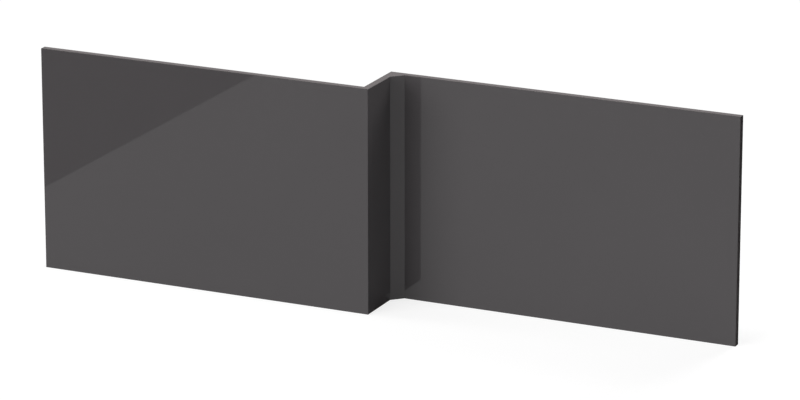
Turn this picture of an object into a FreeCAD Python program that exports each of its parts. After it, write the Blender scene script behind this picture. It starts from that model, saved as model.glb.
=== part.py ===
"""Stepped front panel for a square shower bath: three flat boards and a corner fillet, glued up rigid.

In plan the panel is a Z. The front board covers the wide shower end of the bath. The return board steps
back from it to the rear board, which covers the narrow end. A triangular fillet strip fills the inner
corner on the show side. The boards are medium-density fibreboard, with a small arris on every outer edge.

Millimetres. +X runs along the panel to the right, +Y to the back and +Z up. The origin is on the floor,
at the centre of the panel's overall length and depth.
"""
import os

import FreeCAD
import Part

# Driving dimensions
FRONT_LENGTH = 850.0     # front board's face, from the left end to the outer corner
REAR_LENGTH = 850.0      # from the return's face to the right end of the rear board
STEP_DEPTH = 145.0       # from the front board's face back to the rear board's face
PANEL_HEIGHT = 540.0     # floor edge to the edge under the bath's rim
BOARD_THICKNESS = 18.0
FILLET_LEG = 25.0        # each leg of the fillet strip's triangular section
ARRIS_RADIUS = 1.0       # rounding of every outer edge

# Planes of the plan, from the origin at the centre of the overall length and depth
LEFT_END = -(FRONT_LENGTH + REAR_LENGTH) / 2
RETURN_FACE = LEFT_END + FRONT_LENGTH
RETURN_BACK = RETURN_FACE - BOARD_THICKNESS
RIGHT_END = RETURN_FACE + REAR_LENGTH
FRONT_FACE = -(STEP_DEPTH + BOARD_THICKNESS) / 2
FRONT_BACK = FRONT_FACE + BOARD_THICKNESS
REAR_FACE = FRONT_FACE + STEP_DEPTH
REAR_BACK = REAR_FACE + BOARD_THICKNESS

# Corners of the plan where two boards, or a board and the fillet strip, meet
OUTER_CORNER = (RETURN_FACE, FRONT_FACE)
MITRE_HEEL = (RETURN_BACK, FRONT_BACK)
FILLET_ON_RETURN = (RETURN_FACE, REAR_FACE - FILLET_LEG)
INNER_CORNER = (RETURN_FACE, REAR_FACE)
FILLET_ON_REAR = (RETURN_FACE + FILLET_LEG, REAR_FACE)

# The hollow corners of the outline. They stay sharp, and every other edge gets the arris.
HOLLOW_CORNERS = (MITRE_HEEL, FILLET_ON_RETURN, FILLET_ON_REAR)

# How far the pieces' outlines below pass the panel's surface where a piece ends in the open air
OVERSHOOT = BOARD_THICKNESS


def prism(outline, bottom, top):
    """A solid with this plan outline, standing between two heights."""
    points = [FreeCAD.Vector(x, y, bottom) for x, y in outline]
    face = Part.Face(Part.makePolygon(points + points[:1]))
    return face.extrude(FreeCAD.Vector(0, 0, top - bottom))


def is_hollow(edge):
    """True for an upright edge that stands in one of the outline's hollow corners."""
    start, end = (vertex.Point for vertex in edge.Vertexes)
    upright = FreeCAD.Vector(start.x, start.y, end.z).isEqual(end, Part.Precision.confusion())
    return upright and any(
        start.isEqual(FreeCAD.Vector(x, y, start.z), Part.Precision.confusion()) for x, y in HOLLOW_CORNERS
    )


def finished_panel():
    """The whole panel as it leaves the workshop: the stepped outline at full height, with its edges eased."""
    outline = [
        (LEFT_END, FRONT_FACE),
        OUTER_CORNER,
        FILLET_ON_RETURN,
        FILLET_ON_REAR,
        (RIGHT_END, REAR_FACE),
        (RIGHT_END, REAR_BACK),
        (RETURN_BACK, REAR_BACK),
        MITRE_HEEL,
        (LEFT_END, FRONT_BACK),
    ]
    blank = prism(outline, 0, PANEL_HEIGHT)
    return blank.makeFillet(ARRIS_RADIUS, [edge for edge in blank.Edges if not is_hollow(edge)])


def past(corner, x_steps, y_steps):
    """A point outside the panel, so many overshoots away from a corner of the plan."""
    return corner[0] + x_steps * OVERSHOOT, corner[1] + y_steps * OVERSHOOT


def glue_line_outlines():
    """Each piece's share of the plan: it ends on the glue lines and overshoots the panel everywhere else."""
    mitre_toe = past(OUTER_CORNER, 1, -1)
    off_return = past(FILLET_ON_RETURN, 1, -1)
    off_rear = past(FILLET_ON_REAR, 1, -1)
    heel_side = past(MITRE_HEEL, -1, 1)
    butt_side = past((RETURN_BACK, REAR_FACE), -1, 0)
    return {
        "front_board": [
            past((LEFT_END, FRONT_FACE), -1, -1),
            mitre_toe,
            MITRE_HEEL,
            heel_side,
            past((LEFT_END, FRONT_BACK), -1, 1),
        ],
        "return_board": [
            mitre_toe,
            off_return,
            FILLET_ON_RETURN,
            INNER_CORNER,
            butt_side,
            heel_side,
            MITRE_HEEL,
        ],
        "rear_board": [
            butt_side,
            FILLET_ON_REAR,
            off_rear,
            past((RIGHT_END, REAR_FACE), 1, -1),
            past((RIGHT_END, REAR_BACK), 1, 1),
            past((RETURN_BACK, REAR_BACK), -1, 1),
        ],
        "corner_fillet": [
            FILLET_ON_RETURN,
            off_return,
            off_rear,
            FILLET_ON_REAR,
            INNER_CORNER,
        ],
    }


def main():
    os.makedirs("parts", exist_ok=True)
    panel = finished_panel()
    for name, outline in glue_line_outlines().items():
        share = prism(outline, -OVERSHOOT, PANEL_HEIGHT + OVERSHOOT)
        (piece,) = panel.common(share).Solids
        piece.exportStep(f"parts/{name}.step")
        print(f"{name}: {piece.Volume / 1e6:.4f} litres, {len(piece.Faces)} faces, valid {piece.isValid()}")


main()
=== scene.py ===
"""Looks of the stepped bath panel: high-gloss grey lacquer on its boards, in a plain white studio.

Metres, in the panel's own frame: +X along the panel to the right, +Y to the back and +Z up from the floor.
"""

import math

import bpy
from mathutils import Matrix, Vector


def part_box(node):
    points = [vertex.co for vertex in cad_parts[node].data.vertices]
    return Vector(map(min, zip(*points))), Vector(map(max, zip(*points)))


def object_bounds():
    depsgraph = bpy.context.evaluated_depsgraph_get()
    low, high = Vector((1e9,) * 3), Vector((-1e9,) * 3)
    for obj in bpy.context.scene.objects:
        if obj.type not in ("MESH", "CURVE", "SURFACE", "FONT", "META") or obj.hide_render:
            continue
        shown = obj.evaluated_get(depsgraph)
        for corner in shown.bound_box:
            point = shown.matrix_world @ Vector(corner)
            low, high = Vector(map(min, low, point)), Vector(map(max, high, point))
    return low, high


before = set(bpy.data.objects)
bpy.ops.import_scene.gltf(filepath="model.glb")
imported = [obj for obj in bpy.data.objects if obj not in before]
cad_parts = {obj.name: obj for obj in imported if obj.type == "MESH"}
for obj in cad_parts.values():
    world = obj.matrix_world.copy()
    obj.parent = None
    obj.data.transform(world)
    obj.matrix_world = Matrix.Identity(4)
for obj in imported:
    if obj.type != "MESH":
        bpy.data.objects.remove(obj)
cad_low, cad_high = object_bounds()

# Camera, solved from the corners of the panel in the photograph
PICTURE_WIDTH = 800          # pixels
FOCAL_LENGTH = 4577.4        # pixels
SENSOR_WIDTH = 36.0          # millimetres
CAMERA_AZIMUTH = 25.05       # degrees to the right of the view straight on
CAMERA_ELEVATION = 16.96     # degrees
CAMERA_DISTANCE = 10.486
CAMERA_RIGHT = 0.0737        # sideways and upward shifts from the outer corner's middle
CAMERA_UP = 0.0068

# Lacquer on the show face, the sawn edges and the back
FACE_COLOR = (0.0642, 0.0600, 0.0621)
EDGE_COLOR = (0.0660, 0.0600, 0.0610)
BACK_COLOR = (0.0620, 0.0595, 0.0600)
FACE_VARIATION = 0.015       # share by which a colour gets lighter and darker
EDGE_VARIATION = 0.05
BACK_VARIATION = 0.08
FACE_ROUGHNESS = (0.020, 0.030)
EDGE_ROUGHNESS = (0.112, 0.168)
BACK_ROUGHNESS = (0.495, 0.605)
GLOSS_LEVEL = 0.238          # specular level, where 0.5 is the full gloss of clear lacquer
FACING_LIMIT = 0.697         # cosine of the angle, just over 45 degrees, to which a side's finish reaches

# Surface variation, as lengths between its bumps and heights from low to high
CLOUD_LENGTH = 0.3           # slow drift in the sprayed gloss
PEEL_LENGTH = 0.009          # orange peel of the sprayed gloss
PEEL_HEIGHT = 1.5e-6
PEEL_DETAIL = 1.0
FIBRE_LENGTH = 0.0009        # sanded fibreboard under the edges' lacquer
FIBRE_HEIGHT = 8e-6
STIPPLE_LENGTH = 0.0024      # rolled sealer on the back
STIPPLE_HEIGHT = 30e-6
NOISE_DETAIL = 2.0
NOISE_RANGE = (0.3, 0.7)     # most of a noise texture's values

# Light, as brightnesses beside a white of 1
WORLD_LEVEL = 0.015
WHITE_LEVEL = 1.0            # of the world as it is seen and mirrored
KEY_AZIMUTH = -27.8          # degrees, negative to the left of the view straight on
KEY_DISTANCE = 9.4
KEY_SIZE = (8.1, 7.0)
KEY_LEVEL = 5.05
FILL_AZIMUTH = 46.2
FILL_DISTANCE = 2.0
FILL_SIZE = (2.0, 0.3)
FILL_LEVEL = 3.6
REAR_AZIMUTH = 205.0
REAR_DISTANCE = 6.0
REAR_SIZE = (4.0, 2.5)
REAR_LEVEL = 3.0
LAMP_CLEARANCE = 0.03        # from the floor to the lower edge of a standing lamp
CORNER_PLACE = (0.82, 1.09, 1.58)
CORNER_AIM = (0.0, 0.0185, 0.5)
CORNER_SIZE = (0.70, 0.95)
CORNER_LEVEL = 8.75
OVERHEAD_PLACE = (-0.92, -0.18, 2.02)
OVERHEAD_SIZE = (3.8, 0.4)
OVERHEAD_LEVEL = 5.73

# Stage
WHITE = (1.0, 1.0, 1.0, 1.0)
FLOOR_SIZE = 400.0
FLOOR_COLOR = (0.85, 0.85, 0.85)
FLOOR_GLOW = (1.28, 1.02)    # strength of the floor's own white, near the panel and far from it
FLOOR_GLOW_SHARE = (0.6, 1.0)    # its share of what is seen. The lit floor, with the shadows, is the rest.
SHADOW_REACH = (1.0, 2.0)    # from the panel's middle to where the shadows start and end to fade out

# Cards that only the gloss sees, by the ends of their lines in the plan and their lower and upper edges
SCREEN_X = -1.1765           # the mirror image of its foot is the slanted line on the front board
SCREEN_LENGTH = 6.0
SCREEN_HEIGHTS = (0.0, 3.0)
REAR_CARD_ENDS = ((0.3, 1.2), (2.4, 1.2))
REAR_CARD_HEIGHTS = (-1.4, 0.6)
BACKDROP_ENDS = ((-2.8, 3.0), (0.0, 3.0))
BACKDROP_HEIGHTS = (1.1, 2.0)
DARK_COLOR = (0.01, 0.01, 0.01)
BACKDROP_COLOR = (0.68, 0.626, 0.63)

# Numbers of a Mix node's A, B and Result sockets, by what it mixes
MIX_SOCKETS = {"FLOAT": (2, 3, 0), "RGBA": (6, 7, 2)}


def node(tree, kind, **settings):
    """A new shader node with these attributes."""
    made = tree.nodes.new(kind)
    for name, value in settings.items():
        setattr(made, name, value)
    return made


def feed(tree, socket, operand):
    """Links a socket, or sets a plain value, on an input."""
    if isinstance(operand, bpy.types.NodeSocket):
        tree.links.new(operand, socket)
    else:
        socket.default_value = operand


def math_node(tree, operation, first, second):
    """The output of a Math node. Each operand is a socket or a number."""
    made = node(tree, "ShaderNodeMath", operation=operation)
    feed(tree, made.inputs[0], first)
    feed(tree, made.inputs[1], second)
    return made.outputs["Value"]


def mix(tree, kind, factor, first, second):
    """The output of a Mix node for values or colours. Each operand is a socket or a constant."""
    made = node(tree, "ShaderNodeMix", data_type=kind)
    first_socket, second_socket, result = MIX_SOCKETS[kind]
    tree.links.new(factor, made.inputs["Factor"])
    feed(tree, made.inputs[first_socket], first)
    feed(tree, made.inputs[second_socket], second)
    return made.outputs[result]


def mix_shaders(tree, factor, first, second):
    """The output of a Mix Shader node."""
    made = node(tree, "ShaderNodeMixShader")
    tree.links.new(factor, made.inputs["Fac"])
    tree.links.new(first, made.inputs[1])
    tree.links.new(second, made.inputs[2])
    return made.outputs["Shader"]


def map_range(tree, value, source, target):
    """A value mapped from one range to another, and kept inside it."""
    made = node(tree, "ShaderNodeMapRange")
    made.inputs["From Min"].default_value, made.inputs["From Max"].default_value = source
    made.inputs["To Min"].default_value, made.inputs["To Max"].default_value = target
    tree.links.new(value, made.inputs["Value"])
    return made.outputs["Result"]


def noise(tree, coordinates, length, detail=NOISE_DETAIL):
    """A noise texture's value, with features of about this length."""
    made = node(tree, "ShaderNodeTexNoise")
    made.inputs["Scale"].default_value = 1 / length
    made.inputs["Detail"].default_value = detail
    tree.links.new(coordinates, made.inputs["Vector"])
    return made.outputs["Fac"]


def spread(tree, value, target):
    """A noise value mapped to this range."""
    return map_range(tree, value, NOISE_RANGE, target)


def varied(tree, value, color, share):
    """A colour that a noise value lightens and darkens by this share."""
    tones = [(*(channel * (1 + side * share) for channel in color), 1.0) for side in (-1, 1)]
    return mix(tree, "RGBA", spread(tree, value, (0, 1)), *tones)


def facing(tree, normal, axis):
    """1 where the surface faces along the axis, 0 elsewhere."""
    dot = node(tree, "ShaderNodeVectorMath", operation="DOT_PRODUCT")
    tree.links.new(normal, dot.inputs[0])
    dot.inputs[1].default_value = axis
    return math_node(tree, "GREATER_THAN", dot.outputs["Value"], FACING_LIMIT)


def seen_directly(tree):
    """1 on the rays that show the background: camera, glossy and transmission rays."""
    path = node(tree, "ShaderNodeLightPath")
    mirrored = math_node(tree, "MAXIMUM", path.outputs["Is Glossy Ray"], path.outputs["Is Transmission Ray"])
    return math_node(tree, "MAXIMUM", path.outputs["Is Camera Ray"], mirrored)


def lacquer(name, face_axis, back_axis):
    """High gloss on the show face, satin on the sawn edges and a plain sealed back."""
    material = bpy.data.materials.new(name)
    material.use_nodes = True
    tree = material.node_tree
    shader = tree.nodes["Principled BSDF"]
    shader.inputs["Specular IOR Level"].default_value = GLOSS_LEVEL
    coordinates = node(tree, "ShaderNodeTexCoord")
    place = coordinates.outputs["Object"]
    on_face = facing(tree, coordinates.outputs["Normal"], face_axis)
    on_back = facing(tree, coordinates.outputs["Normal"], back_axis)

    def by_side(kind, face, edge, back):
        return mix(tree, kind, on_face, mix(tree, kind, on_back, edge, back), face)

    cloud = noise(tree, place, CLOUD_LENGTH)
    peel = noise(tree, place, PEEL_LENGTH, PEEL_DETAIL)
    fibre = noise(tree, place, FIBRE_LENGTH)
    stipple = noise(tree, place, STIPPLE_LENGTH)
    color = by_side(
        "RGBA",
        varied(tree, cloud, FACE_COLOR, FACE_VARIATION),
        varied(tree, fibre, EDGE_COLOR, EDGE_VARIATION),
        varied(tree, stipple, BACK_COLOR, BACK_VARIATION),
    )
    tree.links.new(color, shader.inputs["Base Color"])
    roughness = by_side(
        "FLOAT",
        spread(tree, cloud, FACE_ROUGHNESS),
        spread(tree, fibre, EDGE_ROUGHNESS),
        spread(tree, stipple, BACK_ROUGHNESS),
    )
    tree.links.new(roughness, shader.inputs["Roughness"])
    relief = by_side(
        "FLOAT",
        math_node(tree, "MULTIPLY", peel, PEEL_HEIGHT),
        math_node(tree, "MULTIPLY", fibre, FIBRE_HEIGHT),
        math_node(tree, "MULTIPLY", stipple, STIPPLE_HEIGHT),
    )
    bump = node(tree, "ShaderNodeBump")
    bump.inputs["Distance"].default_value = 1.0    # the relief is in metres
    tree.links.new(relief, bump.inputs["Height"])
    tree.links.new(bump.outputs["Normal"], shader.inputs["Normal"])
    return material


def dress_boards():
    """The lacquer on each CAD board, by the way its show face and its back point."""
    slant = math.sqrt(0.5)
    axes = {
        "front_board": ((0, -1, 0), (0, 1, 0)),
        "return_board": ((1, 0, 0), (-1, 0, 0)),
        "rear_board": ((0, -1, 0), (0, 1, 0)),
        "corner_fillet": ((slant, -slant, 0), (0, 1, 0)),
    }
    for board, (face_axis, back_axis) in axes.items():
        material = lacquer(f"gloss_grey_{board}", face_axis, back_axis)
        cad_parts[board].data.materials.clear()
        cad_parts[board].data.materials.append(material)


def direction(azimuth, elevation=0.0):
    """The way from the panel to something at these angles, in degrees."""
    turn = math.radians(azimuth)
    lift = math.radians(elevation)
    return Vector((math.sin(turn) * math.cos(lift), -math.cos(turn) * math.cos(lift), math.sin(lift)))


def add_camera():
    """The photograph's camera. It looks past the middle of the panel's outer corner."""
    corner = Vector((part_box("front_board")[1].x, cad_low.y, (cad_low.z + cad_high.z) / 2))
    back = direction(CAMERA_AZIMUTH, CAMERA_ELEVATION)
    right = Vector((0, 0, 1)).cross(back).normalized()
    up = back.cross(right)
    camera = bpy.data.objects.new("camera", bpy.data.cameras.new("camera"))
    camera.data.sensor_width = SENSOR_WIDTH
    camera.data.lens = FOCAL_LENGTH / PICTURE_WIDTH * SENSOR_WIDTH
    camera.data.clip_end = FLOOR_SIZE
    place = corner + CAMERA_RIGHT * right + CAMERA_UP * up + CAMERA_DISTANCE * back
    camera.matrix_world = Matrix.Translation(place) @ Matrix((right, up, back)).transposed().to_4x4()
    bpy.context.scene.collection.objects.link(camera)
    bpy.context.scene.camera = camera


def add_softbox(name, place, aim, size, level):
    """A soft lamp of this brightness that lights the panel and isn't itself seen or mirrored."""
    light = bpy.data.lights.new(name, "AREA")
    light.shape = "RECTANGLE"
    light.size, light.size_y = size
    light.energy = math.pi * size[0] * size[1] * level
    lamp = bpy.data.objects.new(name, light)
    lamp.location = place
    lamp.rotation_euler = (aim - place).to_track_quat("-Z", "Y").to_euler()
    lamp.visible_camera = False
    lamp.visible_glossy = False
    bpy.context.scene.collection.objects.link(lamp)


def add_standing_lamp(name, azimuth, distance, size, level):
    """A softbox that stands upright on the floor and faces the panel."""
    away = direction(azimuth)
    place = distance * away
    place.z = LAMP_CLEARANCE + size[1] / 2
    add_softbox(name, place, place - away, size, level)


def add_lights():
    """The studio's lamps: three that stand, one above the inner corner and one that shines straight down."""
    add_standing_lamp("key", KEY_AZIMUTH, KEY_DISTANCE, KEY_SIZE, KEY_LEVEL)
    add_standing_lamp("fill", FILL_AZIMUTH, FILL_DISTANCE, FILL_SIZE, FILL_LEVEL)
    add_standing_lamp("rear", REAR_AZIMUTH, REAR_DISTANCE, REAR_SIZE, REAR_LEVEL)
    add_softbox("corner", Vector(CORNER_PLACE), Vector(CORNER_AIM), CORNER_SIZE, CORNER_LEVEL)
    overhead = Vector(OVERHEAD_PLACE)
    below = Vector((overhead.x, overhead.y, 0))
    add_softbox("overhead", overhead, below, OVERHEAD_SIZE, OVERHEAD_LEVEL)


def add_world():
    """White surroundings, as they are seen and mirrored, that give little light of their own."""
    world = bpy.data.worlds.new("studio")
    world.use_nodes = True
    tree = world.node_tree
    lit = tree.nodes["Background"]
    lit.inputs["Color"].default_value = WHITE
    lit.inputs["Strength"].default_value = WORLD_LEVEL
    white = node(tree, "ShaderNodeBackground")
    white.inputs["Color"].default_value = WHITE
    white.inputs["Strength"].default_value = WHITE_LEVEL
    mixed = mix_shaders(tree, seen_directly(tree), lit.outputs["Background"], white.outputs["Background"])
    tree.links.new(mixed, tree.nodes["World Output"].inputs["Surface"])
    bpy.context.scene.world = world


def stage_material(name):
    """A material with only an output, and its node tree."""
    material = bpy.data.materials.new(name)
    material.use_nodes = True
    material.node_tree.nodes.remove(material.node_tree.nodes["Principled BSDF"])
    return material, material.node_tree


def stage_plane(name, corners, material):
    """A flat stage piece with these corners."""
    mesh = bpy.data.meshes.new(name)
    mesh.from_pydata(corners, [], [range(len(corners))])
    mesh.materials.append(material)
    plane = bpy.data.objects.new(name, mesh)
    bpy.context.scene.collection.objects.link(plane)
    return plane


def floor_material():
    """A pale floor that is seen as white, with the panel's shadows on it."""
    material, tree = stage_material("pale_floor")
    lit = node(tree, "ShaderNodeBsdfDiffuse")
    lit.inputs["Color"].default_value = (*FLOOR_COLOR, 1)
    distance = node(tree, "ShaderNodeVectorMath", operation="LENGTH")
    tree.links.new(node(tree, "ShaderNodeTexCoord").outputs["Object"], distance.inputs[0])
    glow = map_range(tree, distance.outputs["Value"], SHADOW_REACH, FLOOR_GLOW)
    share = map_range(tree, distance.outputs["Value"], SHADOW_REACH, FLOOR_GLOW_SHARE)
    white = node(tree, "ShaderNodeEmission")
    tree.links.new(glow, white.inputs["Strength"])
    factor = math_node(tree, "MULTIPLY", seen_directly(tree), share)
    mixed = mix_shaders(tree, factor, lit.outputs["BSDF"], white.outputs["Emission"])
    tree.links.new(mixed, tree.nodes["Material Output"].inputs["Surface"])
    return material


def add_floor():
    """The floor. The gloss sees the white world through it."""
    half = FLOOR_SIZE / 2
    corners = [(-half, -half, 0), (half, -half, 0), (half, half, 0), (-half, half, 0)]
    floor = stage_plane("floor", corners, floor_material())
    floor.visible_glossy = False


def card_material(name, color):
    """One plain brightness all over."""
    material, tree = stage_material(name)
    plain = node(tree, "ShaderNodeEmission")
    plain.inputs["Color"].default_value = (*color, 1)
    tree.links.new(plain.outputs["Emission"], tree.nodes["Material Output"].inputs["Surface"])
    return material


def add_card(name, ends, heights, color):
    """An upright card on the line between two points of the plan, seen only in reflections."""
    start, end = ends
    bottom, top = heights
    corners = [(*start, bottom), (*end, bottom), (*end, top), (*start, top)]
    card = stage_plane(name, corners, card_material(name, color))
    card.visible_camera = False
    card.visible_diffuse = False
    card.visible_shadow = False


def add_cards():
    """A dark screen square to the front board, a dark card behind the panel and a pale backdrop."""
    screen_ends = ((SCREEN_X, cad_low.y), (SCREEN_X, cad_low.y - SCREEN_LENGTH))
    add_card("screen", screen_ends, SCREEN_HEIGHTS, DARK_COLOR)
    add_card("rear_card", REAR_CARD_ENDS, REAR_CARD_HEIGHTS, DARK_COLOR)
    add_card("backdrop", BACKDROP_ENDS, BACKDROP_HEIGHTS, BACKDROP_COLOR)


dress_boards()
add_camera()
add_lights()
add_world()
add_floor()
add_cards()
bpy.context.scene.view_settings.view_transform = "Standard"
